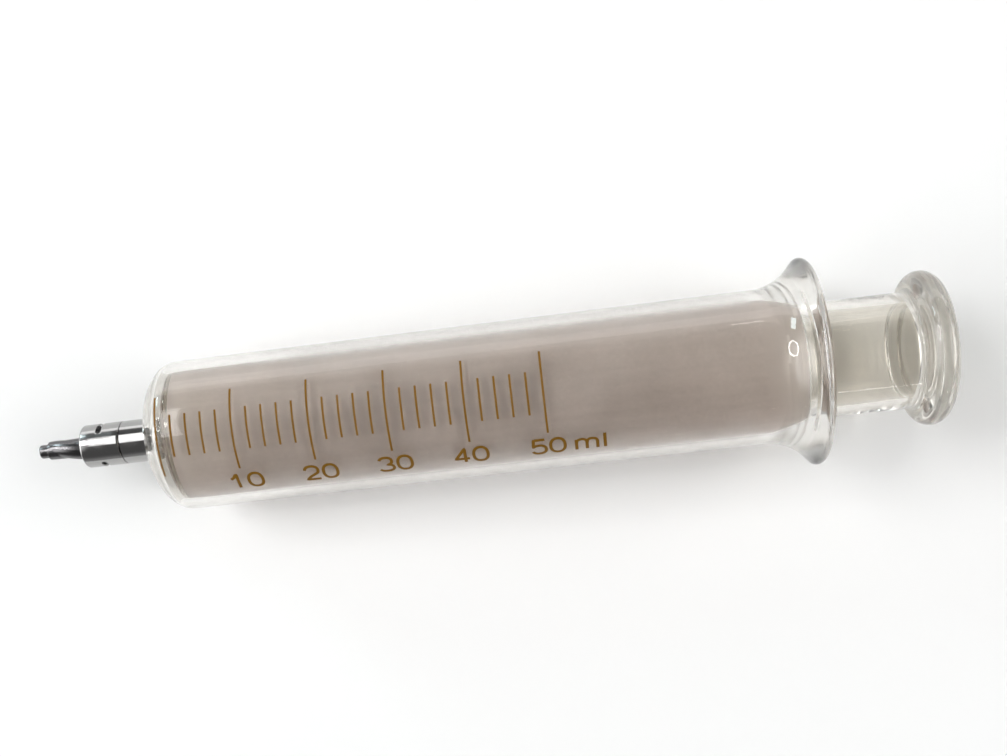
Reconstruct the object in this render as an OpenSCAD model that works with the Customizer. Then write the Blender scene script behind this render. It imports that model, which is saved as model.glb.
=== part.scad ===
// All-glass 50 ml syringe with a metal lock tip.
// The axis lies along X: the nozzle's front end is at the origin and the thumb knob is at +X.
// The fired-on scale faces up, +Z. The plunger is drawn as it rests, a little way out of its home.

/* [Barrel glass] */
// Diameter of the bore, which also sets the spacing of the scale
bore_d = 28.2; // [24:0.1:34]
// Wall of the barrel
barrel_wall = 2.15; // [1.6:0.05:3.2]
// Length from the last scale mark to the rear face of the flange
tail_l = 56.2; // [45:0.1:80]
// Depth of the rounded outer front end
end_dome_l = 7; // [6:0.1:9]
// Thickness of the front end on the axis
end_wall = 2.45; // [1.8:0.05:3.5]
// Depth of the rounded inner front end
bore_dome_l = 3.4; // [3:0.1:4.5]
// Diameter of the flat in the middle of that inner end
bore_flat_d = 6; // [4:0.5:10]
// Diameter of the glass stub inside the ferrule
stub_d = 6.8; // [5.6:0.1:7.2]
// Diameter of the outlet through the stub
outlet_d = 2; // [1.6:0.1:2.6]

/* [Flange] */
// How far the finger flange stands out from the barrel
flange_rise = 5.4; // [4.5:0.1:9]
// Thickness of its rounded rim
rim_t = 2.4; // [1.8:0.1:3.2]
// Slope of the flare behind the rim, in degrees
flare_slope = 50; // [40:1:60]
// Radius of the concave flare, less where the flange leaves no room for it
flare_r = 11; // [7:0.5:12]
// Chamfer round the mouth of the bore
mouth_chamfer = 0.6; // [0.2:0.1:1.2]

/* [Plunger glass] */
// Radial running clearance between the ground plunger and the bore
plunger_fit = 0.04; // [0.02:0.01:0.09]
// Wall of the ground length
plunger_wall = 2.2; // [1.6:0.1:3]
// Gap between the plunger's front and the end of the bore when the plunger is home
nose_gap = 0.6; // [0.3:0.1:1.2]
// Diameter of the flat in the middle of that front
plunger_flat_d = 8; // [7:0.5:12]
// Step in radius from the ground length down to the clear neck
neck_step = 1.96; // [1:0.02:3]
// Wall of the neck
neck_wall = 1.9; // [1.4:0.1:3]
// Length of the shoulder between the ground length and the neck
shoulder_l = 2.4; // [1.5:0.1:4]
// How far the ground length ends short of the flange face when the plunger is home
ground_setback = 4.2; // [1:0.1:12]
// Gap between the flange face and the knob when the plunger is home
knob_standoff = 18.3; // [12:0.1:40]
// How far the plunger is drawn out at rest
rest_draw = 1.5; // [0:0.1:5]

/* [Knob] */
// How far the thumb knob stands out from the neck
knob_rise = 3.95; // [3.6:0.05:6]
// Thickness of the knob, whose rim is fully rounded
knob_t = 6; // [5:0.1:7]
// Fillet between neck and knob
knob_fillet = 0.9; // [0.3:0.1:1.2]
// Glass left behind the plunger's hollow
knob_floor = 5; // [3:0.1:7]

/* [Nozzle] */
// Diameter of the front spigot
spigot_d = 3; // [2.4:0.1:3.4]
// Length of the front spigot
spigot_l = 2; // [1.5:0.1:4]
// Front diameter of the taper
taper_d = 3.9; // [3.7:0.05:4.2]
// Length of taper that shows in front of the collar
taper_l = 8.6; // [6:0.1:12]
// Taper on diameter, in percent
taper_percent = 6; // [4:0.5:9]
// Bore of the nozzle
nozzle_bore_d = 1.6; // [1:0.1:1.8]
// How far the cam ridge stands off the taper at its rear end
cam_rise = 0.55; // [0.3:0.05:0.7]
// Turn of the cam ridge, in degrees
cam_turn = 200; // [120:10:360]
// Diameter of the drum that carries the collar
drum_d = 7.24; // [6.8:0.02:7.4]
// Diameter of the stem that is soldered into the ferrule
stem_d = 4.4; // [3.6:0.1:5]

/* [Locking collar] */
// Gap between the socket's floor and the front of the drum
drum_setback = 0.2; // [0.1:0.05:0.5]
// Wall of the collar round the drum
collar_wall = 1.06; // [0.8:0.02:1.5]
// Length of the collar
collar_l = 8.9; // [8:0.1:12]
// Depth of the open socket in front of the drum
socket_l = 2.8; // [2:0.1:3.2]
// Wall of the collar round that socket
socket_wall = 0.82; // [0.6:0.02:0.9]
// Radial running clearance between collar and drum
collar_fit = 0.04; // [0.02:0.01:0.09]
// Rounding of the collar's front edge
collar_round = 0.5; // [0.2:0.1:0.5]
// Width of the two curved slots
slot_w = 1.3; // [1:0.05:1.6]
// Distance from the socket's floor to the middle of the slots
slot_inset = 1.55; // [1.3:0.05:3]
// Sweep of each slot, in degrees
slot_sweep = 96; // [60:1:120]
// Direction of the first slot's middle, in degrees from the scale
slot_middle = 80; // [0:1:180]
// Clearance of the guide pins in the slots
pin_fit = 0.06; // [0.03:0.01:0.15]
// How far the guide pins stay below the collar's surface
pin_depth = 0.25; // [0.1:0.05:0.5]
// Metal left between the foot of a guide pin and the bore of the nozzle
pin_root = 0.8; // [0.5:0.1:1.4]

/* [Ferrule] */
// Wall of the ferrule round the cement
ferrule_wall = 1.15; // [0.9:0.05:1.6]
// Length of the ferrule
ferrule_l = 7; // [6:0.1:10]
// Thickness of the ferrule's front wall
ferrule_floor = 1.6; // [1:0.1:2]
// Gap at the seam between collar and ferrule
seam_gap = 0.12; // [0.08:0.02:0.3]
// Thickness of the cement round the stub
cement_t = 0.15; // [0.1:0.05:0.4]
// Thickness of the cement in front of the stub
cement_pad = 0.3; // [0.1:0.05:0.6]

/* [Scale] */
// Last mark of the scale, in millilitres
capacity_ml = 50; // [20:10:60]
// Volume from one mark to the next, in millilitres
mark_ml = 2; // [1, 2, 5]
// Volume from one long mark to the next, in millilitres
long_mark_ml = 10; // [10, 20]
// Width of a mark
line_w = 0.4; // [0.25:0.05:0.6]
// Thickness of the fired enamel
enamel_t = 0.08; // [0.05:0.01:0.15]
// Sweep of the short marks round the barrel, in degrees
short_sweep = 31; // [15:1:45]
// Sweep of the long marks round the barrel, in degrees
long_sweep = 61; // [46:1:90]

/* [Hidden] */
$fn = 96;

// radii
bore_r = bore_d / 2;
barrel_r = bore_r + barrel_wall;
stub_r = stub_d / 2;
outlet_r = outlet_d / 2;
cement_r = stub_r + cement_t;
ferrule_r = cement_r + ferrule_wall;
drum_r = drum_d / 2;
collar_bore_r = drum_r + collar_fit;
collar_r = collar_bore_r + collar_wall;
socket_r = collar_r - socket_wall;
spigot_r = spigot_d / 2;
taper_r = taper_d / 2;
stem_r = stem_d / 2;
nozzle_bore_r = nozzle_bore_d / 2;
plunger_r = bore_r - plunger_fit;
neck_r = plunger_r - neck_step;
knob_r = neck_r + knob_rise;

// places along the axis, from the nozzle's front end
collar_x = spigot_l + taper_l;
socket_floor_x = collar_x + socket_l;
slot_x = socket_floor_x + slot_inset;
collar_end_x = collar_x + collar_l;
ferrule_x = collar_end_x + seam_gap;
cement_x = ferrule_x + ferrule_floor;
stub_x = cement_x + cement_pad;
glass_x = ferrule_x + ferrule_l;
bore_x = glass_x + end_wall;
barrel_side_x = glass_x + end_dome_l;
zero_x = bore_x + bore_dome_l;
ml_l = 1000 / (PI * pow(bore_r, 2));
flange_x = zero_x + capacity_ml * ml_l + tail_l;

// flange rim and flare, as [radius, place along X]
rim_r = rim_t / 2;
rim_c = [barrel_r + flange_rise - rim_r, flange_x - rim_r];
slope_end = rim_c + rim_r * [cos(flare_slope), -sin(flare_slope)];
flare_curve_r = min(flare_r, 0.85 * (slope_end[0] - barrel_r) / (1 - cos(flare_slope)));
flare_end_r = barrel_r + flare_curve_r * (1 - cos(flare_slope));
flare_end_x = slope_end[1] - (slope_end[0] - flare_end_r) / tan(flare_slope);
flare_x = flare_end_x - flare_curve_r * sin(flare_slope);

// plunger at rest
ground_x = zero_x + rest_draw;
plunger_dome_l = bore_dome_l - nose_gap;
plunger_x = ground_x - plunger_dome_l;
shoulder_x = flange_x - ground_setback + rest_draw;
knob_x = flange_x + knob_standoff + rest_draw;
plunger_end_x = knob_x + knob_t;
knob_rim_r = knob_t / 2;
knob_rim_c = [knob_r - knob_rim_r, knob_x + knob_rim_r];
hollow_x = plunger_x + plunger_wall;
hollow_end_x = plunger_end_x - knob_floor;
hollow_r = plunger_r - plunger_wall;
neck_hollow_r = neck_r - neck_wall;

// taper of the nozzle, and the ridge that winds round it
drum_x = socket_floor_x + drum_setback;
taper_end_r = taper_r + taper_percent / 200 * (drum_x - spigot_l);
cam_x = spigot_l + 0.2;
cam_l = collar_x - cam_x;
cam_start_r = taper_r * 0.9;
cam_offset = taper_r * 0.16;
cam_growth = (taper_end_r + cam_rise) / (cam_start_r + cam_offset);

pin_r = slot_w / 2 - pin_fit;
pin_foot_r = nozzle_bore_r + pin_root;
slot_end_turn = slot_sweep / 2 - asin(slot_w / 2 / collar_r);
overcut = 1;

function reversed(list) = [for (i = [len(list) - 1 : -1 : 0]) list[i]];

// points on an arc about centre c, as [radius, place]
function arc(c, r, from, to, steps = 9) = [
    for (i = [0 : steps])
        let (a = from + (to - from) * i / steps)
        c + r * [cos(a), sin(a)]
];

// a quarter of an ellipse, from the edge of a flat end round to the side
function dome(flat_r, side_r, start_x, depth, steps = 14) = [
    for (i = [0 : steps])
        let (a = 90 * i / steps)
        [flat_r + (side_r - flat_r) * sin(a), start_x + depth * (1 - cos(a))]
];

// a smooth step from one radius to another
function shoulder(from_r, to_r, start_x, length, steps = 8) = [
    for (i = [0 : steps])
        [(from_r + to_r) / 2 + (from_r - to_r) / 2 * cos(180 * i / steps), start_x + length * i / steps]
];

// radius of the barrel's outside at a place along X
function glass_r(x) = x >= barrel_side_x ? barrel_r
    : ferrule_r + (barrel_r - ferrule_r) * sqrt(1 - pow((barrel_side_x - x) / end_dome_l, 2));

// a solid of revolution about X from points given as [radius, place along X]
module turned(points) {
    rotate([0, 90, 0]) rotate_extrude() polygon(points);
}

// part of a turned ring, its middle facing up
module turned_sector(points, sweep) {
    rotate([0, 90, 0])
        rotate([0, 0, 180 - sweep / 2])
            rotate_extrude(angle = sweep) polygon(points);
}

// what is drawn facing up, turned round the axis from the scale by an angle
module facing(turn) {
    rotate([-turn, 0, 0]) children();
}

module barrel() {
    color([0.82, 0.88, 0.88, 0.4])
        turned(concat(
            [[outlet_r, stub_x], [stub_r, stub_x], [stub_r, glass_x]],
            dome(ferrule_r, barrel_r, glass_x, end_dome_l),
            arc([barrel_r + flare_curve_r, flare_x], flare_curve_r, 180, 180 - flare_slope),
            arc(rim_c, rim_r, -flare_slope, 90),
            [[bore_r + mouth_chamfer, flange_x], [bore_r, flange_x - mouth_chamfer]],
            reversed(dome(bore_flat_d / 2, bore_r, bore_x, bore_dome_l)),
            [[outlet_r, bore_x]]));
}

module plunger_outline() {
    fillet = min(knob_fillet, knob_rim_c[0] - neck_r);
    turned(concat(
        [[0, plunger_x]],
        dome(plunger_flat_d / 2, plunger_r, plunger_x, plunger_dome_l),
        shoulder(plunger_r, neck_r, shoulder_x, shoulder_l),
        arc([neck_r + fillet, knob_x - fillet], fillet, 180, 90, 5),
        arc(knob_rim_c, knob_rim_r, -90, 90, 14),
        [[0, plunger_end_x]]));
}

module plunger_hollow() {
    front_depth = plunger_dome_l;
    end_depth = knob_floor / 2;
    turned(concat(
        [[0, hollow_x]],
        dome(hollow_r / 3, hollow_r, hollow_x, front_depth),
        shoulder(hollow_r, neck_hollow_r, shoulder_x, shoulder_l),
        reversed(dome(neck_hollow_r / 2, neck_hollow_r, hollow_end_x, -end_depth)),
        [[0, hollow_end_x]]));
}

module plunger() {
    color([0.8, 0.79, 0.79, 0.75])
        difference() {
            plunger_outline();
            plunger_hollow();
        }
}

module ferrule() {
    edge = 0.15;
    color([0.72, 0.73, 0.75])
        turned([
            [stem_r, ferrule_x],
            [ferrule_r - edge, ferrule_x],
            [ferrule_r, ferrule_x + edge],
            [ferrule_r, glass_x],
            [cement_r, glass_x],
            [cement_r, cement_x],
            [stem_r, cement_x]]);
}

module ferrule_cement() {
    color([0.55, 0.55, 0.52])
        turned([
            [outlet_r, cement_x],
            [cement_r, cement_x],
            [cement_r, glass_x],
            [stub_r, glass_x],
            [stub_r, stub_x],
            [outlet_r, stub_x]]);
}

// one radial pin in the drum, standing up in the middle of a slot
module guide_pin() {
    color([0.6, 0.6, 0.62])
        translate([slot_x, 0, pin_foot_r]) cylinder(r = pin_r, h = collar_r - pin_depth - pin_foot_r);
}

module upper_guide_pin() {
    facing(slot_middle) guide_pin();
}

module lower_guide_pin() {
    facing(slot_middle + 180) guide_pin();
}

module cam_ridge() {
    rotate([0, 90, 0])
        translate([0, 0, cam_x])
            linear_extrude(height = cam_l, twist = -cam_turn, scale = cam_growth, slices = 26)
                translate([0, cam_offset]) circle(r = cam_start_r, $fn = 24);
}

module nozzle() {
    color([0.68, 0.69, 0.72])
        difference() {
            union() {
                turned([
                    [0, 0],
                    [spigot_r, 0],
                    [spigot_r, spigot_l],
                    [taper_r, spigot_l],
                    [taper_end_r, drum_x],
                    [drum_r, drum_x],
                    [drum_r, ferrule_x],
                    [stem_r, ferrule_x],
                    [stem_r, cement_x],
                    [0, cement_x]]);
                cam_ridge();
            }
            rotate([0, 90, 0])
                translate([0, 0, -overcut])
                    cylinder(r = nozzle_bore_r, h = cement_x + 2 * overcut);
            upper_guide_pin();
            lower_guide_pin();
        }
}

// a curved slot with round ends, its middle facing up; the seams of those ends stay off its straight sides
module collar_slot() {
    inner_r = drum_r / 2;
    outer_r = collar_r + overcut;
    seam_turn = 20;
    turned_sector([
        [inner_r, slot_x - slot_w / 2],
        [outer_r, slot_x - slot_w / 2],
        [outer_r, slot_x + slot_w / 2],
        [inner_r, slot_x + slot_w / 2]], 2 * slot_end_turn);
    for (side = [-1, 1])
        facing(side * slot_end_turn)
            translate([slot_x, 0, inner_r])
                rotate([0, 0, seam_turn]) cylinder(d = slot_w, h = outer_r - inner_r);
}

module locking_collar() {
    edge = 0.15;
    color([0.74, 0.75, 0.77])
        difference() {
            turned(concat(
                [[socket_r, collar_x]],
                reversed(arc([collar_r - collar_round, collar_x + collar_round], collar_round, 0, -90, 5)),
                [[collar_r, collar_end_x - edge], [collar_r - edge, collar_end_x],
                    [collar_bore_r, collar_end_x], [collar_bore_r, socket_floor_x],
                    [socket_r, socket_floor_x]]));
            for (turn = [0, 180]) facing(slot_middle + turn) collar_slot();
        }
}

// one fired line across the scale
module mark(ml, sweep) {
    front = zero_x + ml * ml_l - line_w / 2;
    back = front + line_w;
    turned_sector([
        [glass_r(front), front],
        [glass_r(front) + enamel_t, front],
        [glass_r(back) + enamel_t, back],
        [glass_r(back), back]], sweep);
}

module short_marks() {
    color([0.55, 0.36, 0.08])
        for (ml = [mark_ml : mark_ml : capacity_ml])
            if (ml % long_mark_ml != 0) mark(ml, short_sweep);
}

module long_marks() {
    color([0.55, 0.36, 0.08])
        for (ml = [0 : long_mark_ml : capacity_ml]) mark(ml, long_sweep);
}

barrel();
plunger();
ferrule();
ferrule_cement();
nozzle();
upper_guide_pin();
lower_guide_pin();
locking_collar();
short_marks();
long_marks();
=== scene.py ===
"""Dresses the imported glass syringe: turned glass, plated tip, fired amber scale, pale floor and soft light.

The axis is X, from the nozzle's front end at the origin to the thumb knob. The scale faces +Z. Sizes are in
millimetres until a piece is built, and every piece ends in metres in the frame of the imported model.
"""

import math

import bpy
from mathutils import Matrix, Vector


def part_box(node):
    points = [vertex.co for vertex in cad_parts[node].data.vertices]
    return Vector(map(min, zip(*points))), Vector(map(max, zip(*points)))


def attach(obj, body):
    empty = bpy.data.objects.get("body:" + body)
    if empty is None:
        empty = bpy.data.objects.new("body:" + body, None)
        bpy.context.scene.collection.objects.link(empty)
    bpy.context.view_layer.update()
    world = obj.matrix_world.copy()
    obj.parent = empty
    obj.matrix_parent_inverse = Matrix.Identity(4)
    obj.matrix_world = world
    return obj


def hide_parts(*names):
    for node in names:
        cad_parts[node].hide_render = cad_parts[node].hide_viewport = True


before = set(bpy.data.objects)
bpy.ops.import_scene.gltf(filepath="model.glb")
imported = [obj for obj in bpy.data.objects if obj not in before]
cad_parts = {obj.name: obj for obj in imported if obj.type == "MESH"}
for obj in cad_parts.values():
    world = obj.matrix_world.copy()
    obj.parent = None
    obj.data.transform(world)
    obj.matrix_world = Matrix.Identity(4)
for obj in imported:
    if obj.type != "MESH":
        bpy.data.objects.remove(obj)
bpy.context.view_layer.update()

MM = 0.001
MERGE_DISTANCE = 1e-6

# glass barrel
BORE_R = 14.1
BARREL_R = 16.25
GLASS_X = 26.62
END_DOME = 7.0
BARREL_SIDE_X = GLASS_X + END_DOME
BORE_X = 29.07
BORE_DOME = 3.4
BORE_FLAT_R = 3.0
ZERO_X = BORE_X + BORE_DOME
STUB_X = 21.52
STUB_R = 3.4
OUTLET_R = 1.0
MOUTH_CHAMFER = 0.6
FLANGE_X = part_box("barrel")[1].x / MM
FLANGE_RISE = 5.4
RIM_R = 1.2
RIM_CENTRE = (FLANGE_X - RIM_R, BARREL_R + FLANGE_RISE - RIM_R)
FLARE_SLOPE = 50.0
FLARE_R = 11.0
FLANGE_TINT_R = BARREL_R + 0.6
RUBBED_FROM_X = 38.0
RUBBED_TO_X = FLANGE_X - 10
RUBBED_FADE_IN = 30
RUBBED_FADE_OUT = 5

# glass plunger, drawn a little out of its home
PLUNGER_DRAWN = 1.5
PLUNGER_R = 14.06
GROUND_X = ZERO_X + PLUNGER_DRAWN
GROUND_EDGE_X = GROUND_X + 0.65
PLUNGER_DOME = 2.8
PLUNGER_X = GROUND_X - PLUNGER_DOME
PLUNGER_FLAT_R = 4.0
PLUNGER_WALL = 2.2
SHOULDER_X = FLANGE_X - 2.7
SHOULDER_LENGTH = 2.4
NECK_R = 12.1
NECK_WALL = 1.9
PLUNGER_END_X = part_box("plunger")[1].x / MM
KNOB_T = 6.0
KNOB_X = PLUNGER_END_X - KNOB_T
KNOB_R = 16.05
KNOB_FILLET = 0.9
KNOB_FLOOR = 5.0
KNOB_TINT_X = KNOB_X - 0.4

# metal tip
METAL_EDGE = 0.12
FIT_GAP = 0.01
SPIGOT_R = 1.5
SPIGOT_X = 2.0
SPIGOT_ROUND = 0.25
TAPER_R = 1.95
TAPER_SLOPE = 0.03
TAPER_EDGE = 0.1
NOZZLE_BORE_R = 0.8
DRUM_X = 13.6
DRUM_R = 3.62
DRUM_CHAMFER = 0.15
STEM_R = 2.2
CAM_X = 2.2
CAM_R = 0.9 * TAPER_R
CAM_OFFSET = 0.16 * TAPER_R
CAM_TURN = 200.0
CAM_RISE = 0.55
COLLAR_X = 10.6
COLLAR_END_X = 19.5
COLLAR_R = 4.72
COLLAR_BORE_R = 3.66
COLLAR_ROUND = 0.5
COLLAR_LIP = 0.1
SOCKET_FLOOR_X = 13.4
SOCKET_R = 3.9
SLOT_X = 14.95
SLOT_W = 1.3
SLOT_SWEEP = 96.0
SLOT_MIDDLE = 80.0
SLOT_CUT_FROM_R = 2.0
SLOT_CUT_TO_R = 6.0
SLOT_EDGE = 0.06
PIN_R = 0.59
PIN_FOOT_R = 1.7
PIN_TOP_R = 4.47
PIN_EDGE = 0.1
FERRULE_X = 19.62
FERRULE_R = 4.7
CEMENT_X = 21.22
CEMENT_R = 3.55

# fired scale; a mark's section is given in shares of its half width and of its height
ML_LENGTH = 1000 / (math.pi * BORE_R**2)
CAPACITY_ML = 50
MARK_ML = 2
LONG_MARK_ML = 10
MARK_WIDTH = 0.46
MARK_SECTION = ((-1.0, 0.0), (-0.75, 0.7), (-0.3, 1.0), (0.3, 1.0), (0.75, 0.7), (1.0, 0.0))
SHORT_SWEEP = 31.0
LONG_SWEEP = 61.0
ENAMEL_LIFT = 0.004
ENAMEL_HEIGHT = 0.055

# figures of the scale, with the place along X where each number starts
NUMBERS = {"10": 45.65, "20": 61.55, "30": 77.25, "40": 93.05, "50": 108.9}
FIGURE_HEIGHT = 3.8
FIGURE_WIDTH = 2.95
FIGURE_PITCH = 3.85
FIGURE_STROKE = 0.34
FIGURE_SIDE_SLOPE = 2.2
FIGURE_TURN = -42.8
UNIT_X = 118.0
UNIT_WIDTH = 4.3
UNIT_PITCH = 5.85

# floor, on which the front of the barrel's side and the flange's rim rest
FLOOR_SIDE_X = 33.6
FLOOR_RIM_X = 167.5
FLOOR_GAP = 0.03
FLOOR_SLOPE = math.atan2(FLANGE_RISE, FLOOR_RIM_X - FLOOR_SIDE_X)
FLOOR_AT = Vector((FLOOR_SIDE_X, 0, -(BARREL_R + FLOOR_GAP))) * MM

# the photograph and its lens in pixels, the sensor in millimetres and the camera's place in metres
PHOTO_WIDTH = 1007
PHOTO_HEIGHT = 756
LENS_LENGTH = 1105
LENS_CENTRE = (480, 480)
SENSOR_WIDTH = 36.0
CAMERA_AT = (0.1169, -0.0031, 0.2377)
CAMERA_RIGHT = Vector((0.99019, -0.11589, -0.07806))
CAMERA_DOWN = Vector((-0.11072, -0.99155, 0.06762))
CAMERA_FORWARD = Vector((-0.08523, -0.05832, -0.99465))
GLASS_BOUNCES = 48


# outlines, as (place along X, radius)


def arc(centre, radius, start, end, steps=10):
    """Points on a circular arc; angles run from +radius towards +X, in degrees."""
    turns = [math.radians(start + (end - start) * i / steps) for i in range(steps + 1)]
    return [(centre[0] + radius * math.sin(a), centre[1] + radius * math.cos(a)) for a in turns]


def dome(flat_r, side_r, start_x, depth, steps=22):
    """A quarter ellipse from the rim of a flat end round to a straight side."""
    turns = [math.pi / 2 * i / steps for i in range(steps + 1)]
    return [(start_x + depth * (1 - math.cos(a)), flat_r + (side_r - flat_r) * math.sin(a)) for a in turns]


def shoulder(from_r, to_r, start_x, length, steps=10):
    """A smooth step from one radius to another."""
    middle, half = (from_r + to_r) / 2, (from_r - to_r) / 2
    return [
        (start_x + length * i / steps, middle + half * math.cos(math.pi * i / steps))
        for i in range(steps + 1)
    ]


def straight(start, end, steps):
    """Evenly spaced points between two outline points, both left out."""
    return [
        (start[0] + (end[0] - start[0]) * i / steps, start[1] + (end[1] - start[1]) * i / steps)
        for i in range(1, steps)
    ]


# making pieces


def pick(piece):
    """Makes a piece the only one that is selected."""
    bpy.ops.object.select_all(action="DESELECT")
    piece.select_set(True)
    bpy.context.view_layer.objects.active = piece


def edit(piece):
    """Opens a piece for editing with everything selected."""
    pick(piece)
    bpy.ops.object.mode_set(mode="EDIT")
    bpy.ops.mesh.select_mode(type="VERT")
    bpy.ops.mesh.select_all(action="SELECT")


def leave():
    bpy.ops.object.mode_set(mode="OBJECT")


def draw_line(name, points):
    """A chain of edges through points in millimetres, each point extruded from the one before."""
    bpy.ops.object.select_all(action="DESELECT")
    bpy.ops.mesh.primitive_plane_add(size=MM, location=(0, 0, 0))
    piece = bpy.context.object
    piece.name = piece.data.name = name
    edit(piece)
    bpy.ops.mesh.merge(type="CENTER")
    place = Vector(points[0]) * MM
    bpy.ops.transform.translate(value=place)
    for point in points[1:]:
        step = Vector(point) * MM - place
        bpy.ops.mesh.extrude_vertices_move(TRANSFORM_OT_translate={"value": step})
        place = place + step
    leave()
    return piece


def turn(name, outline, sides=160, sweep=360.0, closed=True):
    """Spins an outline of (place, radius) points about the X axis. A closed outline makes a solid ring."""
    points = [(x, 0, r) for x, r in outline]
    if closed:
        points.append(points[0])
    piece = draw_line(name, points)
    edit(piece)
    bpy.ops.mesh.remove_doubles(threshold=MERGE_DISTANCE)
    bpy.ops.mesh.spin(steps=sides, angle=math.radians(sweep), center=(0, 0, 0), axis=(1, 0, 0))
    bpy.ops.mesh.select_all(action="SELECT")
    bpy.ops.mesh.remove_doubles(threshold=MERGE_DISTANCE)
    bpy.ops.mesh.dissolve_degenerate(threshold=1e-7)
    bpy.ops.mesh.select_all(action="SELECT")
    bpy.ops.mesh.normals_make_consistent(inside=False)
    leave()
    return piece


def turn_round_axis(piece, degrees):
    """Turns a piece's mesh round the X axis, from the scale's side towards +Y."""
    piece.data.transform(Matrix.Rotation(-math.radians(degrees), 4, "X"))
    return piece


def turn_part_way(name, outline, sweep, middle):
    """Spins an outline part of the way round, closes both ends and centres it on a direction, in degrees."""
    piece = turn(name, outline, sides=40, sweep=sweep)
    edit(piece)
    bpy.ops.mesh.select_all(action="DESELECT")
    bpy.ops.mesh.select_non_manifold()
    bpy.ops.mesh.fill_holes(sides=len(outline))
    bpy.ops.mesh.select_all(action="SELECT")
    bpy.ops.mesh.normals_make_consistent(inside=False)
    leave()
    turns = [math.degrees(math.atan2(v.co.y, v.co.z)) for v in piece.data.vertices]
    return turn_round_axis(piece, middle - (min(turns) + max(turns)) / 2)


def smooth(piece, degrees=38):
    """Shades a piece smooth, except over edges sharper than an angle."""
    pick(piece)
    bpy.ops.object.shade_smooth_by_angle(angle=math.radians(degrees))
    return piece


def use_modifier(piece, kind, **settings):
    """Adds a modifier to a piece and applies it."""
    pick(piece)
    modifier = piece.modifiers.new(kind.title(), kind)
    for key, value in settings.items():
        setattr(modifier, key, value)
    bpy.ops.object.modifier_apply(modifier=modifier.name)
    return piece


def bevel(piece, width, segments):
    """Rounds the sharp edges of a piece."""
    sharp = {"limit_method": "ANGLE", "angle_limit": math.radians(40)}
    return use_modifier(piece, "BEVEL", width=width * MM, segments=segments, **sharp)


def cut(piece, cutter):
    use_modifier(piece, "BOOLEAN", operation="DIFFERENCE", solver="EXACT", object=cutter)
    bpy.data.objects.remove(cutter)


def join(name, pieces):
    bpy.ops.object.select_all(action="DESELECT")
    for piece in pieces:
        piece.select_set(True)
    bpy.context.view_layer.objects.active = pieces[0]
    bpy.ops.object.join()
    joined = bpy.context.object
    joined.name = joined.data.name = name
    return joined


def finish_piece(piece, body, node, slot, *materials):
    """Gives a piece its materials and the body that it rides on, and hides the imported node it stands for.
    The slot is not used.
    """
    piece.data.materials.clear()
    for material in materials:
        piece.data.materials.append(material)
    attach(piece, body)
    if node:
        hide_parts(node)


# materials


def add_node(tree, kind, values=None, **settings):
    """Adds a node with its settings and, by name or number, the values of its inputs."""
    made = tree.nodes.new(kind)
    for name, value in settings.items():
        setattr(made, name, value)
    for socket, value in (values or {}).items():
        made.inputs[socket].default_value = value
    return made


def new_group(name, inputs, outputs):
    """A node group with named sockets, and the nodes at its two ends."""
    group = bpy.data.node_groups.new(name, "ShaderNodeTree")
    for way, sockets in (("INPUT", inputs), ("OUTPUT", outputs)):
        for socket in sockets:
            kind = "NodeSocketVector" if socket == "Vector" else "NodeSocketFloat"
            group.interface.new_socket(name=socket, in_out=way, socket_type=kind)
    return group, add_node(group, "NodeGroupInput"), add_node(group, "NodeGroupOutput")


def new_material(name, values):
    """A material whose shader has the given values, and that shader."""
    material = bpy.data.materials.new(name)
    material.use_nodes = True
    shader = material.node_tree.nodes["Principled BSDF"]
    for socket, value in values.items():
        shader.inputs[socket].default_value = value
    return material, shader


def handled_surface_group():
    """Finger haze and fine grain: a roughness and a height, from object coordinates."""
    inputs = ("Vector", "Haze Size", "Haze", "Grain Size", "Roughness")
    group, given, out = new_group("handled_surface", inputs, ("Roughness Out", "Height"))
    haze = add_node(group, "ShaderNodeTexNoise", {"Detail": 4})
    grain = add_node(group, "ShaderNodeTexNoise", {"Detail": 2})
    patches = add_node(group, "ShaderNodeMapRange", {"From Min": 0.45, "From Max": 0.75})
    more = add_node(group, "ShaderNodeMath", operation="MULTIPLY")
    total = add_node(group, "ShaderNodeMath", operation="ADD")
    height = add_node(group, "ShaderNodeMath", {1: 0.15}, operation="MULTIPLY_ADD")
    links = group.links
    for noise, size in ((haze, "Haze Size"), (grain, "Grain Size")):
        links.new(given.outputs["Vector"], noise.inputs["Vector"])
        links.new(given.outputs[size], noise.inputs["Scale"])
    links.new(haze.outputs["Fac"], patches.inputs["Value"])
    links.new(patches.outputs["Result"], more.inputs[0])
    links.new(given.outputs["Haze"], more.inputs[1])
    links.new(more.outputs[0], total.inputs[0])
    links.new(given.outputs["Roughness"], total.inputs[1])
    links.new(total.outputs[0], out.inputs["Roughness Out"])
    links.new(grain.outputs["Fac"], height.inputs[0])
    links.new(haze.outputs["Fac"], height.inputs[2])
    links.new(height.outputs[0], out.inputs["Height"])
    return group


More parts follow.
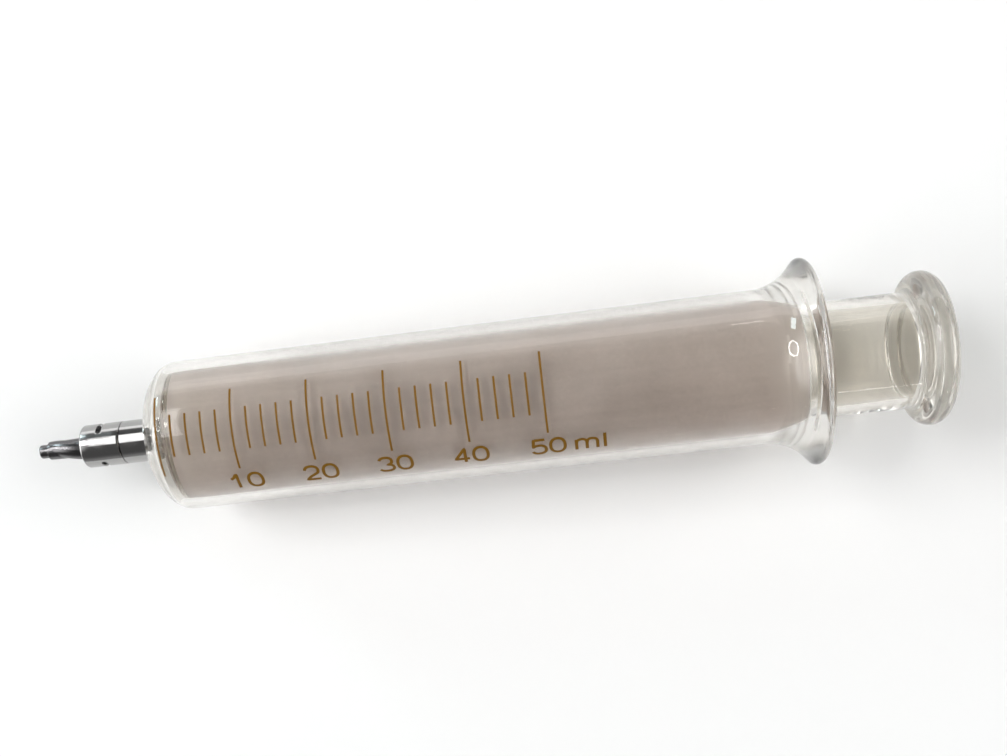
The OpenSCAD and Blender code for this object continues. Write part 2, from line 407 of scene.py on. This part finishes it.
def worn_grain_group():
    """Cloudiness, drag lines along the axis and fine grain of a ground surface, mixed to one factor."""
    group, given, out = new_group("worn_grain", ("Vector",), ("Fac",))
    links = group.links
    total = None
    for scale, stretch, share in ((70.0, 1.0, 0.45), (500.0, 0.05, 0.3), (1500.0, 1.0, 0.25)):
        place = add_node(group, "ShaderNodeMapping", {"Scale": (stretch, 1, 1)})
        cloud = add_node(group, "ShaderNodeTexNoise", {"Scale": scale, "Detail": 4.0})
        add = add_node(group, "ShaderNodeMath", {1: share, 2: 0.0}, operation="MULTIPLY_ADD")
        links.new(given.outputs["Vector"], place.inputs["Vector"])
        links.new(place.outputs["Vector"], cloud.inputs["Vector"])
        links.new(cloud.outputs["Fac"], add.inputs[0])
        if total:
            links.new(total, add.inputs[2])
        total = add.outputs[0]
    links.new(total, out.inputs["Fac"])
    return group


HANDLED = handled_surface_group()
WORN_GRAIN = worn_grain_group()
GLASS_IOR = 1.5
POLISHED_GLASS = {"haze_size": 90.0, "haze": 0.02, "grain_size": 900.0, "bump": 0.000004}
MATT_GLASS = {"haze_size": 120.0, "haze": 0.06, "grain_size": 9000.0, "bump": 0.00001}
PLATING = {"haze_size": 300.0, "haze": 0.12, "grain_size": 4000.0, "bump": 0.000004}
FIRED_OR_SET = {"haze_size": 400.0, "haze": 0.1, "grain_size": 5000.0, "bump": 0.00001}


def handled(material, shader, haze_size, haze, grain_size, bump, roughness=0.0):
    """Gives a material haze and grain over an even roughness, and returns its first two nodes."""
    tree = material.node_tree
    where = add_node(tree, "ShaderNodeTexCoord")
    values = {"Haze Size": haze_size, "Haze": haze, "Grain Size": grain_size, "Roughness": roughness}
    surface = add_node(tree, "ShaderNodeGroup", values, node_tree=HANDLED)
    relief = add_node(tree, "ShaderNodeBump", {"Distance": bump, "Strength": 1.0})
    tree.links.new(where.outputs["Object"], surface.inputs["Vector"])
    tree.links.new(surface.outputs["Roughness Out"], shader.inputs["Roughness"])
    tree.links.new(surface.outputs["Height"], relief.inputs["Height"])
    tree.links.new(relief.outputs["Normal"], shader.inputs["Normal"])
    return where, surface


def grain_colours(material, shader, where, dark, light):
    """Colours a surface between two tints by its worn grain."""
    tree = material.node_tree
    grain = add_node(tree, "ShaderNodeGroup", node_tree=WORN_GRAIN)
    colours = add_node(tree, "ShaderNodeValToRGB")
    dark_stop, light_stop = colours.color_ramp.elements
    dark_stop.position, dark_stop.color = 0.35, (*dark, 1)
    light_stop.position, light_stop.color = 0.65, (*light, 1)
    tree.links.new(where.outputs["Object"], grain.inputs["Vector"])
    tree.links.new(grain.outputs["Fac"], colours.inputs["Fac"])
    tree.links.new(colours.outputs["Color"], shader.inputs["Base Color"])


def clear_glass(name, colour):
    values = {"Base Color": (*colour, 1), "Transmission Weight": 1.0, "IOR": GLASS_IOR}
    material, shader = new_material(name, values)
    handled(material, shader, **POLISHED_GLASS)
    return material


def ground_glass(name, dark, light):
    """Glass ground matt, cloudy with grain."""
    material, shader = new_material(name, {"Transmission Weight": 0.5, "IOR": GLASS_IOR})
    where, _ = handled(material, shader, roughness=0.62, **MATT_GLASS)
    grain_colours(material, shader, where, dark, light)
    return material


def rubbed_glass(name, dark, light, roughness):
    """Clear glass rubbed dull by the plunger along the bore, with soft ends."""
    material, shader = new_material(name, {"Transmission Weight": 1.0, "IOR": GLASS_IOR})
    where, surface = handled(material, shader, **POLISHED_GLASS)
    grain_colours(material, shader, where, dark, light)
    tree = material.node_tree
    split = add_node(tree, "ShaderNodeSeparateXYZ")
    ends = {"From Min": RUBBED_FROM_X * MM, "From Max": RUBBED_TO_X * MM}
    along = add_node(tree, "ShaderNodeMapRange", ends)
    rubbing = add_node(tree, "ShaderNodeValToRGB")
    rubbing.color_ramp.interpolation = "EASE"
    stops = rubbing.color_ramp.elements
    for stop in stops:
        stop.color = (0, 0, 0, 1)
    length = RUBBED_TO_X - RUBBED_FROM_X
    for place in (RUBBED_FADE_IN / length, 1 - RUBBED_FADE_OUT / length):
        stops.new(place).color = (roughness, roughness, roughness, 1)
    tree.links.new(where.outputs["Object"], split.inputs["Vector"])
    tree.links.new(split.outputs["X"], along.inputs["Value"])
    tree.links.new(along.outputs["Result"], rubbing.inputs["Fac"])
    tree.links.new(rubbing.outputs["Color"], surface.inputs["Roughness"])
    return material


def plated_metal(name, colour, roughness):
    material, shader = new_material(name, {"Base Color": (*colour, 1), "Metallic": 1.0})
    handled(material, shader, roughness=roughness, **PLATING)
    return material


def plain_dielectric(name, colour, roughness, specular):
    material, shader = new_material(name, {"Base Color": (*colour, 1), "Specular IOR Level": specular})
    handled(material, shader, roughness=roughness, **FIRED_OR_SET)
    return material


BARREL_GLASS = clear_glass("barrel_glass", (0.86, 0.845, 0.815))
BORE_GLASS = rubbed_glass("rubbed_bore_glass", (0.78, 0.765, 0.735), (0.94, 0.925, 0.895), roughness=0.2)
PLUNGER_GLASS = clear_glass("plunger_glass", (0.865, 0.84, 0.79))
FLANGE_GLASS = clear_glass("flange_glass", (0.81, 0.795, 0.76))
KNOB_GLASS = clear_glass("knob_glass", (0.64, 0.615, 0.56))
GROUND_GLASS = ground_glass("ground_glass", (0.695, 0.62, 0.585), (0.795, 0.715, 0.68))
# The plating's grey is partly its own colour and partly painted shade: it is darkened to stand in for dark
# surroundings in its reflections.
SHADED_PLATING = plated_metal("plated_metal", (0.38, 0.375, 0.37), roughness=0.1)
# The nozzle's dark metal is partly worn plating and partly painted shade: its colour is darkened further to
# stand in for dark surroundings in its reflections.
WORN_AND_SHADED_PLATING = plated_metal("worn_plated_metal_and_painted_shade", (0.13, 0.127, 0.13), roughness=0.18)
PIN_STEEL = plated_metal("pin_steel", (0.5, 0.5, 0.5), roughness=0.25)
CEMENT = plain_dielectric("grey_cement", (0.42, 0.41, 0.38), roughness=0.8, specular=0.3)
ENAMEL = plain_dielectric("amber_enamel", (0.185, 0.087, 0.004), roughness=0.45, specular=0.12)


# barrel and plunger


def make_barrel():
    slope = math.radians(FLARE_SLOPE)
    slope_x = RIM_CENTRE[0] - RIM_R * math.sin(slope)
    slope_r = RIM_CENTRE[1] + RIM_R * math.cos(slope)
    flare_end_r = BARREL_R + FLARE_R * (1 - math.cos(slope))
    flare_end_x = slope_x - (slope_r - flare_end_r) / math.tan(slope)
    flare_x = flare_end_x - FLARE_R * math.sin(slope)
    outside = [(STUB_X, OUTLET_R), (STUB_X, STUB_R), (GLASS_X, STUB_R)]
    outside += dome(FERRULE_R, BARREL_R, GLASS_X, END_DOME)
    outside += straight((BARREL_SIDE_X, BARREL_R), (flare_x, BARREL_R), steps=24)
    outside += arc((flare_x, BARREL_R + FLARE_R), FLARE_R, 180, 180 - FLARE_SLOPE, steps=18)
    outside += arc(RIM_CENTRE, RIM_R, -FLARE_SLOPE, 90, steps=18)
    mouth = [(FLANGE_X, BORE_R + MOUTH_CHAMFER), (FLANGE_X - MOUTH_CHAMFER, BORE_R)]
    inside = straight(mouth[1], (ZERO_X, BORE_R), steps=24)
    inside += list(reversed(dome(BORE_FLAT_R, BORE_R, BORE_X, BORE_DOME)))
    inside += [(BORE_X, OUTLET_R)]
    return turn("glass_barrel", outside + mouth + inside, sides=192)


def make_plunger():
    knob_rim_r = KNOB_T / 2
    knob_rim = (KNOB_X + knob_rim_r, KNOB_R - knob_rim_r)
    outside = [(PLUNGER_X, 0)] + dome(PLUNGER_FLAT_R, PLUNGER_R, PLUNGER_X, PLUNGER_DOME)
    outside += [(GROUND_EDGE_X, PLUNGER_R)]
    outside += straight((GROUND_EDGE_X, PLUNGER_R), (SHOULDER_X, PLUNGER_R), steps=24)
    outside += shoulder(PLUNGER_R, NECK_R, SHOULDER_X, SHOULDER_LENGTH)
    outside += arc((KNOB_X - KNOB_FILLET, NECK_R + KNOB_FILLET), KNOB_FILLET, 180, 90, steps=6)
    outside += arc(knob_rim, knob_rim_r, -90, 90, steps=24)
    outside += [(PLUNGER_END_X, 0)]
    hollow_x, hollow_end_x = PLUNGER_X + PLUNGER_WALL, PLUNGER_END_X - KNOB_FLOOR
    hollow_r, neck_hollow_r = PLUNGER_R - PLUNGER_WALL, NECK_R - NECK_WALL
    inside = [(hollow_x, 0)] + dome(hollow_r / 3, hollow_r, hollow_x, PLUNGER_DOME)
    inside += shoulder(hollow_r, neck_hollow_r, SHOULDER_X, SHOULDER_LENGTH)
    inside += list(reversed(dome(neck_hollow_r / 2, neck_hollow_r, hollow_end_x, -KNOB_FLOOR / 2)))
    inside += [(hollow_end_x, 0)]
    shell = turn("plunger_outside", outside, sides=192, closed=False)
    hollow = turn("plunger_hollow", inside, sides=192, closed=False)
    edit(hollow)
    bpy.ops.mesh.flip_normals()
    leave()
    return join("glass_plunger", [shell, hollow])


def face_places(piece):
    """Each face of a piece, with its place along X and its distance from the axis in millimetres."""
    for face in piece.data.polygons:
        x, y, z = face.center / MM
        yield face, x, math.hypot(y, z)


barrel = smooth(make_barrel())
finish_piece(barrel, "barrel", "barrel", "clear_glass", BARREL_GLASS, BORE_GLASS, FLANGE_GLASS)
for face, along, from_axis in face_places(barrel):
    if RUBBED_FROM_X < along < RUBBED_TO_X and from_axis < (BORE_R + BARREL_R) / 2:
        face.material_index = 1
    elif from_axis > FLANGE_TINT_R:
        face.material_index = 2

plunger = smooth(make_plunger())
finish_piece(plunger, "plunger", "plunger", "ground_glass", PLUNGER_GLASS, GROUND_GLASS, KNOB_GLASS)
for face, along, from_axis in face_places(plunger):
    if GROUND_EDGE_X < along < SHOULDER_X and from_axis > PLUNGER_R - PLUNGER_WALL / 2:
        face.material_index = 1
    elif along > KNOB_TINT_X:
        face.material_index = 2


# metal tip


def make_nozzle():
    edge_x = SPIGOT_X + 0.8 * TAPER_EDGE
    taper_end = (DRUM_X, TAPER_R + TAPER_SLOPE * (DRUM_X - SPIGOT_X))
    outline = [(0.0, NOZZLE_BORE_R), (0.0, SPIGOT_R - SPIGOT_ROUND)]
    outline += arc((SPIGOT_ROUND, SPIGOT_R - SPIGOT_ROUND), SPIGOT_ROUND, -90, 0, steps=5)
    outline += straight((SPIGOT_ROUND, SPIGOT_R), (SPIGOT_X, SPIGOT_R), steps=3)
    outline += [(SPIGOT_X, SPIGOT_R), (SPIGOT_X, TAPER_R - TAPER_EDGE), (edge_x, TAPER_R - 0.2 * TAPER_EDGE)]
    outline += straight((edge_x, TAPER_R), taper_end, steps=90)
    outline += [taper_end, (DRUM_X, DRUM_R - DRUM_CHAMFER), (DRUM_X + DRUM_CHAMFER, DRUM_R)]
    outline += [(FERRULE_X, DRUM_R), (FERRULE_X, STEM_R), (CEMENT_X, STEM_R), (CEMENT_X, NOZZLE_BORE_R)]
    return turn("metal_nozzle", outline, sides=128)


def raise_cam(nozzle):
    """Raises a ridge on the nozzle's taper that winds round it and grows towards the collar."""
    grown = (TAPER_R + TAPER_SLOPE * (COLLAR_X - SPIGOT_X) + CAM_RISE) / (CAM_R + CAM_OFFSET)
    for corner in nozzle.data.vertices:
        x, y, z = corner.co / MM
        share = (x - CAM_X) / (COLLAR_X - CAM_X)
        if not 0 <= share <= 1:
            continue
        around = math.atan2(y, z) - math.radians(90 - CAM_TURN * share)
        size = 1 + (grown - 1) * share
        reach = CAM_OFFSET * math.cos(around) + math.sqrt(CAM_R**2 - (CAM_OFFSET * math.sin(around)) ** 2)
        radius = math.hypot(y, z)
        ridge = max(radius, reach * size)
        corner.co = Vector((x, y * ridge / radius, z * ridge / radius)) * MM
    return nozzle


def slot_rod(name, radius, inner_r, outer_r, direction, sides):
    """A round rod at the slots' place along X that stands out from the axis between two radii."""
    bpy.ops.object.select_all(action="DESELECT")
    bpy.ops.mesh.primitive_cylinder_add(vertices=sides, radius=radius * MM, depth=(outer_r - inner_r) * MM)
    rod = bpy.context.object
    rod.name = rod.data.name = name
    rod.data.transform(Matrix.Translation((SLOT_X * MM, 0, (inner_r + outer_r) / 2 * MM)))
    return turn_round_axis(rod, direction)


def make_collar():
    """The turning sleeve, with extra rings in its outline that keep the shading even beside the slots."""
    half_slot = SLOT_W / 2
    near_ring, far_ring, rear_ring = half_slot + 0.2, 1.8, 0.6
    rings = (SLOT_X - far_ring, SLOT_X - near_ring, SLOT_X + near_ring, SLOT_X + far_ring)
    outline = [(COLLAR_X + COLLAR_LIP, SOCKET_R), (COLLAR_X, SOCKET_R + COLLAR_LIP)]
    outline += arc((COLLAR_X + COLLAR_ROUND, COLLAR_R - COLLAR_ROUND), COLLAR_ROUND, -90, 0, steps=8)
    outline += [(x, COLLAR_R) for x in (*rings, COLLAR_END_X - rear_ring, COLLAR_END_X - METAL_EDGE)]
    outline += [(COLLAR_END_X, COLLAR_R - METAL_EDGE), (COLLAR_END_X, COLLAR_BORE_R)]
    outline += [(SOCKET_FLOOR_X, COLLAR_BORE_R), (SOCKET_FLOOR_X, SOCKET_R)]
    piece = turn("locking_collar_sleeve", outline)
    end_turn = SLOT_SWEEP / 2 - math.degrees(math.asin(half_slot / COLLAR_R))
    front_x, rear_x = SLOT_X - half_slot, SLOT_X + half_slot
    section = [(front_x, SLOT_CUT_FROM_R), (front_x, SLOT_CUT_TO_R)]
    section += [(rear_x, SLOT_CUT_TO_R), (rear_x, SLOT_CUT_FROM_R)]
    for middle in (SLOT_MIDDLE, SLOT_MIDDLE + 180):
        cut(piece, turn_part_way("slot_cutter", section, 2 * end_turn, middle))
        for end in (middle - end_turn, middle + end_turn):
            cut(piece, slot_rod("slot_end", half_slot, SLOT_CUT_FROM_R, SLOT_CUT_TO_R, end, sides=32))
    smooth(bevel(piece, SLOT_EDGE, segments=2), 30)
    return use_modifier(piece, "WEIGHTED_NORMAL", keep_sharp=True)


def make_ferrule():
    end_x = GLASS_X - FIT_GAP
    front, rear = (FERRULE_X + METAL_EDGE, FERRULE_R), (GLASS_X - METAL_EDGE, FERRULE_R)
    outline = [(FERRULE_X, STEM_R), (FERRULE_X, FERRULE_R - METAL_EDGE), front]
    outline += straight(front, rear, steps=6)
    outline += [rear, (end_x, FERRULE_R - METAL_EDGE)]
    outline += [(end_x, CEMENT_R), (CEMENT_X, CEMENT_R), (CEMENT_X, STEM_R)]
    return turn("metal_ferrule", outline)


def make_cement():
    """The cement round the glass stub and before it, a little clear of the glass and of the metal."""
    front_x, end_x, stub_x = CEMENT_X + FIT_GAP, GLASS_X - 2 * FIT_GAP, STUB_X - FIT_GAP
    outline = [(front_x, OUTLET_R), (front_x, CEMENT_R - FIT_GAP), (end_x, CEMENT_R - FIT_GAP)]
    outline += [(end_x, STUB_R + FIT_GAP), (stub_x, STUB_R + FIT_GAP), (stub_x, OUTLET_R)]
    return turn("cement_sleeve", outline, sides=96)


finish_piece(smooth(raise_cam(make_nozzle()), 30), "barrel", "nozzle", "plated_nozzle", WORN_AND_SHADED_PLATING)
finish_piece(make_collar(), "locking_collar", "locking_collar", "plated_collar", SHADED_PLATING)
finish_piece(smooth(make_ferrule(), 30), "barrel", "ferrule", "plated_ferrule", SHADED_PLATING)
finish_piece(smooth(make_cement()), "barrel", "ferrule_cement", "cement", CEMENT)
for name, node, direction in (
    ("guide_pin_above", "upper_guide_pin", SLOT_MIDDLE),
    ("guide_pin_below", "lower_guide_pin", SLOT_MIDDLE + 180),
):
    pin = bevel(slot_rod(name, PIN_R, PIN_FOOT_R, PIN_TOP_R, direction, sides=40), PIN_EDGE, segments=3)
    finish_piece(smooth(pin), "barrel", node, "steel_pin", PIN_STEEL)


# fired scale


def glass_r(x):
    """Radius of the barrel's outside at a place along X."""
    if x >= BARREL_SIDE_X:
        return BARREL_R
    return FERRULE_R + (BARREL_R - FERRULE_R) * math.sqrt(1 - ((BARREL_SIDE_X - x) / END_DOME) ** 2)


def make_mark(name, x, sweep):
    """One fired line: a low rounded bead of enamel round part of the barrel."""
    half = MARK_WIDTH / 2
    outline = [
        (x + half * a, glass_r(x + half * a) + ENAMEL_LIFT + ENAMEL_HEIGHT * b)
        for a, b in MARK_SECTION
    ]
    return turn_part_way(name, outline, sweep, 0)


def copy_along(piece, distance):
    copied = piece.copy()
    copied.data = piece.data.copy()
    bpy.context.scene.collection.objects.link(copied)
    copied.data.transform(Matrix.Translation((distance * MM, 0, 0)))
    return copied


def make_marks():
    short = make_mark("short_line", ZERO_X + MARK_ML * ML_LENGTH, SHORT_SWEEP)
    long = make_mark("long_line", ZERO_X + LONG_MARK_ML * ML_LENGTH, LONG_SWEEP)
    shorts, longs = [short], [make_mark("zero_line", ZERO_X, LONG_SWEEP), long]
    for ml in range(2 * MARK_ML, CAPACITY_ML, MARK_ML):
        if ml % LONG_MARK_ML:
            shorts.append(copy_along(short, (ml - MARK_ML) * ML_LENGTH))
    for ml in range(2 * LONG_MARK_ML, CAPACITY_ML + 1, LONG_MARK_ML):
        longs.append(copy_along(long, (ml - LONG_MARK_ML) * ML_LENGTH))
    return join("short_scale_lines", shorts), join("long_scale_lines", longs)


short_marks, long_marks = make_marks()
finish_piece(smooth(short_marks, 60), "barrel", "short_marks", "amber_enamel", ENAMEL)
finish_piece(smooth(long_marks, 60), "barrel", "long_marks", "amber_enamel", ENAMEL)


def oval(width, height, centre=(0.0, 0.0), start=0.0, end=360.0, steps=32, square=0.86):
    """Points round a slightly squared oval, from a direction to another, in degrees from +X."""
    points = []
    for i in range(steps + 1):
        a = math.radians(start + (end - start) * i / steps)
        c, s = math.cos(a), math.sin(a)
        points.append((
            centre[0] + width / 2 * math.copysign(abs(c) ** square, c),
            centre[1] + height / 2 * math.copysign(abs(s) ** square, s),
        ))
    return points


# strokes of the figures, each in a box one wide and one high
FIGURE_STROKES = {
    "0": [oval(1, 1, (0.5, 0.5))],
    "1": [[(0.08, 0.7), (0.3, 0.8), (0.46, 1.0), (0.54, 1.0), (0.54, 0.0)]],
    "2": [oval(0.94, 0.62, (0.47, 0.69), 172, -38, 18) + [(0.32, 0.24), (0.02, 0.0), (1.0, 0.0)]],
    "3": [oval(0.88, 0.52, (0.45, 0.74), 165, -80, 16) + oval(1.0, 0.49, (0.48, 0.245), 80, -165, 20)],
    "4": [[(0.7, 0.0), (0.7, 1.0), (0.0, 0.27), (1.0, 0.27)]],
    "5": [[(0.93, 1.0), (0.15, 1.0), (0.1, 0.52)] + oval(0.96, 0.62, (0.5, 0.31), 140, -160, 24)],
    "m": [
        [(0.0, 0.0), (0.0, 0.74)],
        [(0.0, 0.42)] + oval(0.5, 0.5, (0.25, 0.49), 150, 0, 12) + [(0.5, 0.0)],
        [(0.5, 0.42)] + oval(0.5, 0.5, (0.75, 0.49), 150, 0, 12) + [(1.0, 0.0)],
    ],
    "l": [[(0.0, 0.0), (0.0, 1.02)]],
}


def densely(line, step=0.3):
    """The same line with points close enough to follow the curve of the glass."""
    points = [line[0]]
    for start, end in zip(line, line[1:]):
        points += straight(start, end, max(1, math.ceil(math.dist(start, end) / step)))
        points.append(end)
    return points


def draw_bead(line, touching=0.01):
    """A round bead of enamel along a line of (along X, up) points, closed where its ends touch."""
    bead = draw_line("bead", [(x, y, 0) for x, y in densely(line)])
    if math.dist(line[0], line[-1]) < touching:
        edit(bead)
        bpy.ops.mesh.remove_doubles(threshold=MERGE_DISTANCE)
        leave()
    bpy.ops.object.convert(target="CURVE")
    curve = bpy.context.object.data
    curve.bevel_depth = FIGURE_STROKE * MM
    curve.bevel_resolution = 3
    curve.use_fill_caps = True
    bpy.ops.object.convert(target="MESH")
    return bpy.context.object


def fire_on_glass(name, lines):
    """Draws lines as beads, wraps them on the barrel and flattens them to low enamel with sloping sides."""
    piece = join(name, [draw_bead(line) for line in lines])
    for corner in piece.data.vertices:
        x, y, z = corner.co / MM
        height = ENAMEL_HEIGHT * min(1.0, max(0.0, FIGURE_SIDE_SLOPE * z / FIGURE_STROKE))
        radius = BARREL_R + ENAMEL_LIFT + height
        around = y / BARREL_R + math.radians(FIGURE_TURN)
        corner.co = Vector((x, radius * math.sin(around), radius * math.cos(around))) * MM
    return piece


def figure_lines(text, left, width, pitch):
    """Strokes of a word whose first letter starts at a place along X."""
    return [
        [(left + i * pitch + a * width, (b - 0.5) * FIGURE_HEIGHT) for a, b in stroke]
        for i, letter in enumerate(text)
        for stroke in FIGURE_STROKES[letter]
    ]


figures = []
for number, left in NUMBERS.items():
    figures += figure_lines(number, left, FIGURE_WIDTH, FIGURE_PITCH)
figures += figure_lines("ml", UNIT_X, UNIT_WIDTH, UNIT_PITCH)
numerals = fire_on_glass("scale_figures", figures)
finish_piece(smooth(numerals, 30), "barrel", None, "amber_enamel", ENAMEL)


# floor, light and camera


def pale_floor():
    bpy.ops.object.select_all(action="DESELECT")
    bpy.ops.mesh.primitive_plane_add(size=8, location=FLOOR_AT, rotation=(0, FLOOR_SLOPE, 0))
    floor = bpy.context.object
    floor.name = floor.data.name = "pale_floor"
    values = {"Base Color": (0.95, 0.95, 0.945, 1), "Roughness": 0.9, "Specular IOR Level": 0.1}
    floor.data.materials.append(new_material("pale_floor", values)[0])


def softbox(name, place, aim, width, height, brightness, shape="RECTANGLE", colour=(1, 1, 1)):
    """An area light, its face as bright as brightness times white, its width along X where that can be."""
    bpy.ops.object.select_all(action="DESELECT")
    bpy.ops.object.light_add(type="AREA", location=place)
    lamp = bpy.context.object
    lamp.name = lamp.data.name = name
    lamp.data.shape, lamp.data.color = shape, colour
    lamp.data.size, lamp.data.size_y = width, height
    face = width * height * (math.pi / 4 if shape == "ELLIPSE" else 1)
    lamp.data.energy = brightness * math.pi * face
    back = (Vector(place) - Vector(aim)).normalized()
    sideways = Vector((0, 1, 0)) if abs(back.x) > 0.7 else Vector((1, 0, 0))
    across = sideways.cross(back).cross(back) * -1
    up = back.cross(across)
    lamp.rotation_euler = Matrix((across.normalized(), up.normalized(), back)).transposed().to_euler()
    lamp.visible_camera = False


def ring_lamp(place, aim, radius, tube, brightness):
    """A glowing ring that shows as a small bright ring where the glass bulges."""
    bpy.ops.object.select_all(action="DESELECT")
    turned = (Vector(place) - Vector(aim)).to_track_quat("Z", "Y").to_euler()
    bpy.ops.mesh.primitive_torus_add(
        location=place,
        rotation=turned,
        major_radius=radius,
        minor_radius=tube,
        major_segments=64,
        minor_segments=12,
    )
    ring = bpy.context.object
    ring.name = ring.data.name = "ring_lamp"
    bpy.ops.object.transform_apply(location=True, rotation=True, scale=True)
    white, glow = (0.8, 0.8, 0.8, 1), (1, 1, 1, 1)
    values = {"Base Color": white, "Emission Color": glow, "Emission Strength": brightness}
    ring.data.materials.append(new_material("ring_lamp", values)[0])
    ring.visible_camera = False


def photo_camera():
    """The camera of the photograph, which is a crop, so its lens is off the picture's middle."""
    bpy.ops.object.select_all(action="DESELECT")
    bpy.ops.object.camera_add(location=CAMERA_AT)
    camera = bpy.context.object
    turned = Matrix((CAMERA_RIGHT, -CAMERA_DOWN, -CAMERA_FORWARD)).transposed()
    camera.rotation_mode = "QUATERNION"
    camera.rotation_quaternion = turned.to_quaternion()
    camera.data.sensor_width = SENSOR_WIDTH
    camera.data.lens = LENS_LENGTH * SENSOR_WIDTH / PHOTO_WIDTH
    camera.data.shift_x = (PHOTO_WIDTH / 2 - LENS_CENTRE[0]) / PHOTO_WIDTH
    camera.data.shift_y = (LENS_CENTRE[1] - PHOTO_HEIGHT / 2) / PHOTO_WIDTH
    camera.data.clip_start, camera.data.clip_end = 0.01, 20
    bpy.context.scene.camera = camera


def room_light(low, high, fade_to, glow, glow_core, glow_edge, glow_directions):
    """A dim room, lighter near the horizon than overhead, with a soft glow in each given direction."""
    world = bpy.data.worlds.new("soft_room")
    world.use_nodes = True
    tree = world.node_tree
    links = tree.links
    where = add_node(tree, "ShaderNodeTexCoord")
    split = add_node(tree, "ShaderNodeSeparateXYZ")
    heights = {"From Max": math.sin(math.radians(fade_to)), "To Min": low, "To Max": high}
    fade = add_node(tree, "ShaderNodeMapRange", heights, interpolation_type="SMOOTHSTEP")
    links.new(where.outputs["Generated"], split.inputs["Vector"])
    links.new(split.outputs["Z"], fade.inputs["Value"])
    total = fade.outputs["Result"]
    core, edge = math.cos(math.radians(glow_core)), math.cos(math.radians(glow_edge))
    nearness = {"From Min": edge, "From Max": core, "To Max": glow}
    for direction in glow_directions:
        middle = {1: Vector(direction).normalized()}
        towards = add_node(tree, "ShaderNodeVectorMath", middle, operation="DOT_PRODUCT")
        lobe = add_node(tree, "ShaderNodeMapRange", nearness, interpolation_type="SMOOTHSTEP")
        add = add_node(tree, "ShaderNodeMath", operation="ADD")
        links.new(where.outputs["Generated"], towards.inputs[0])
        links.new(towards.outputs["Value"], lobe.inputs["Value"])
        links.new(lobe.outputs["Result"], add.inputs[0])
        links.new(total, add.inputs[1])
        total = add.outputs[0]
    links.new(total, tree.nodes["Background"].inputs["Color"])
    bpy.context.scene.world = world


pale_floor()
room_light(
    low=0.48,
    high=0.14,
    fade_to=30,
    glow=3.2,
    glow_core=8,
    glow_edge=35,
    glow_directions=[(-0.85, 0.0, 0.52), (0.85, 0.0, 0.52)],
)
softbox("tip_softbox", (-0.443, 0.396, 1.03), (0.019, 0, 0), width=0.12, height=0.85, brightness=3.0)
far_window = {"width": 0.28, "height": 0.5, "brightness": 12, "colour": (0.78, 0.96, 1)}
softbox("far_window", (-1.08, 1.4, 0.755), (0.1, 0, 0), **far_window)
ring_centre = {"width": 0.76, "height": 0.76, "brightness": 1.6, "shape": "ELLIPSE"}
softbox("ring_centre", (-1.4, 0.76, 1.92), (0.1, 0, 0.015), **ring_centre)
ring_lamp((-1.375, 0.75, 1.89), (0.1, 0, 0.015), radius=0.405, tube=0.036, brightness=26)
softbox("window_softbox", (0.1, 0.9, 0.13), (0.1, 0, 0.02), width=2.0, height=0.25, brightness=1.5)
softbox("low_strip", (0.44, -0.92, 0.3), (0.178, 0, 0), width=0.16, height=0.014, brightness=16)
softbox("small_lamp", (0.325, 0.92, 0.36), (0.155, 0, 0.01), width=0.05, height=0.03, brightness=6)
photo_camera()
bpy.context.scene.view_settings.view_transform = "Standard"
light_paths = bpy.context.scene.cycles
light_paths.max_bounces = GLASS_BOUNCES
light_paths.glossy_bounces = GLASS_BOUNCES
light_paths.transmission_bounces = GLASS_BOUNCES
light_paths.blur_glossy = 0
